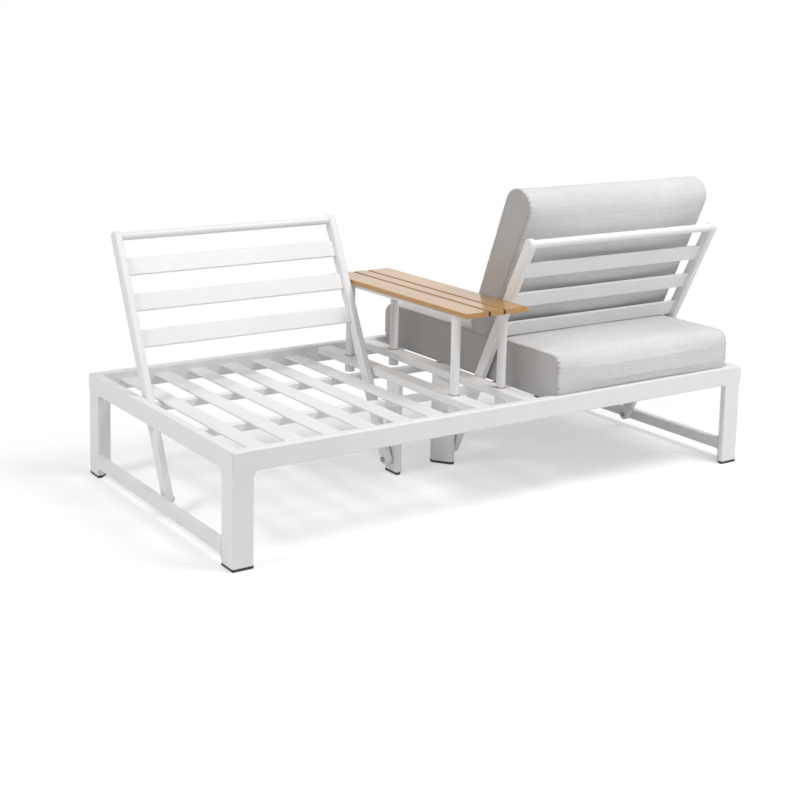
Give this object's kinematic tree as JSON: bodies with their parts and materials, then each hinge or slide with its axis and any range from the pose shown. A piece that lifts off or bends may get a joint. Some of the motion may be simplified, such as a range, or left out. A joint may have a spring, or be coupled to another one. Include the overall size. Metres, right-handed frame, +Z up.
{
  "type": "garden bench",
  "caption": "Low aluminium garden bench with a slatted seat on each side of a small table, backs that flip to face either way, and cushions on one seat.",
  "frame": {"origin": "on the floor, below the middle of the bench's bounding box", "axes": "+X runs along the bench from the bare seat to the cushioned one, +Y across it to the rear, +Z up"},
  "size_m": [1.6, 0.8, 0.795],
  "materials": {
    "white_coating": "satin",
    "black_rubber": "matte",
    "bolt_steel": "satin",
    "white_nylon": "matte",
    "zinc_plated_steel": "satin",
    "table_wood": "satin",
    "cushion_cloth": "matte"
  },
  "bodies": {
    "bench_frame": {"front_rail": "white_coating", "rear_rail": "white_coating", "left_end_rail": "white_coating", "right_end_rail": "white_coating", "front_left_leg": "white_coating", "rear_left_leg": "white_coating", "front_right_leg": "white_coating", "rear_right_leg": "white_coating", "left_center_leg": "white_coating", "right_center_leg": "white_coating", "left_stretcher": "white_coating", "right_stretcher": "white_coating", "front_beam": "white_coating", "rear_beam": "white_coating", "left_cross_rail": "white_coating", "right_cross_rail": "white_coating", "left_seat_slat_1": "white_coating", "left_seat_slat_2": "white_coating", "left_seat_slat_3": "white_coating", "left_seat_slat_4": "white_coating", "left_seat_slat_5": "white_coating", "left_seat_slat_6": "white_coating", "right_seat_slat_1": "white_coating", "right_seat_slat_2": "white_coating", "right_seat_slat_3": "white_coating", "right_seat_slat_4": "white_coating", "right_seat_slat_5": "white_coating", "right_seat_slat_6": "white_coating", "foot_caps": "black_rubber", "post_sockets": "white_coating", "pivot_nuts": "zinc_plated_steel", "pivot_bolts": "bolt_steel", "seat_cushion": "cushion_cloth"},
    "left_back": {"left_back_outer_upright": "white_coating", "left_back_inner_upright": "white_coating", "left_back_top_tube": "white_coating", "left_back_slat_1": "white_coating", "left_back_slat_2": "white_coating", "left_back_slat_3": "white_coating", "left_back_bushes": "white_nylon"},
    "right_back": {"right_back_outer_upright": "white_coating", "right_back_inner_upright": "white_coating", "right_back_top_tube": "white_coating", "right_back_slat_1": "white_coating", "right_back_slat_2": "white_coating", "right_back_slat_3": "white_coating", "right_back_bushes": "white_nylon", "right_back_cushion": "cushion_cloth"},
    "table": {"table_left_plank": "table_wood", "table_middle_plank": "table_wood", "table_right_plank": "table_wood", "table_underframe": "white_coating", "table_front_left_post": "white_coating", "table_front_right_post": "white_coating", "table_rear_left_post": "white_coating", "table_rear_right_post": "white_coating"}
  },
  "joints": [
    {"name": "left_back_flip", "type": "hinge", "parent": "bench_frame", "child": "left_back", "pos_m": [-0.438, 0, 0.041], "axis": [1, 0, 0], "range_deg": [0, 51.9]},
    {"name": "right_back_flip", "type": "hinge", "parent": "bench_frame", "child": "right_back", "pos_m": [0.438, 0, 0.041], "axis": [-1, 0, 0], "range_deg": [0, 51.9], "deforming": ["right_back_cushion"]},
    {"name": "table_lift", "type": "slide", "parent": "bench_frame", "child": "table", "axis": [0, 0, 1], "range_m": [0, 0.06]}
  ]
}
